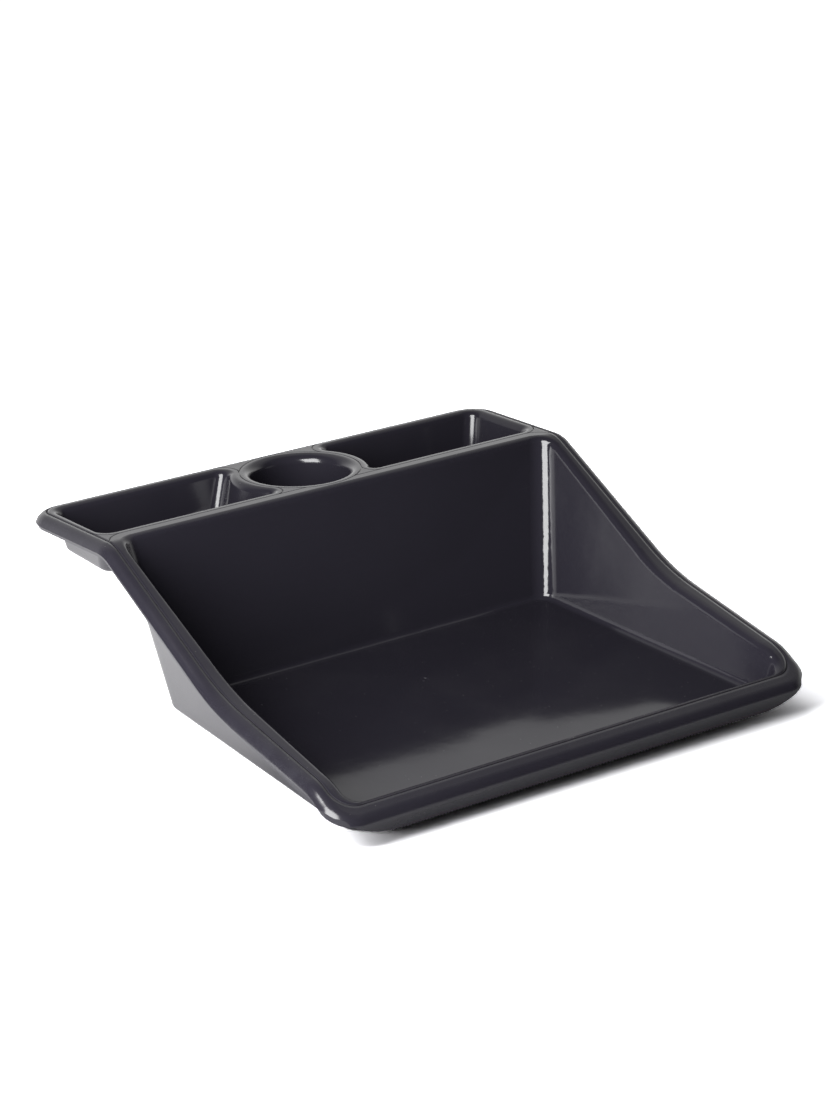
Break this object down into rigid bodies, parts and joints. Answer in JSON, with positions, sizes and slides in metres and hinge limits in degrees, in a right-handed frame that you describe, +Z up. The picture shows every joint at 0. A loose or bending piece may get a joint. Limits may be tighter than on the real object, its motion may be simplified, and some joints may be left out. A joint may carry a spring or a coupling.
{
  "type": "potting tray",
  "caption": "Deep open-fronted plastic tray for potting work, with sloping sides, a rolled rim and a rear shelf holding two compartments around a pot cup.",
  "frame": {"origin": "middle of the footprint, on the ground under the base", "axes": "+X to the right, +Y from the open front lip towards the rear shelf, +Z up"},
  "size_m": [0.6, 0.584, 0.1758],
  "materials": {
    "moulded_plastic": "satin black polypropylene, smooth from the mould, lightly scuffed"
  },
  "bodies": {
    "root": {"main_bin": "moulded_plastic", "left_compartment": "moulded_plastic", "right_compartment": "moulded_plastic", "pot_cup": "moulded_plastic", "shelf_deck": "moulded_plastic", "front_lip": "moulded_plastic", "left_side_rim": "moulded_plastic", "right_side_rim": "moulded_plastic", "rear_rim": "moulded_plastic"}
  },
  "joints": []
}
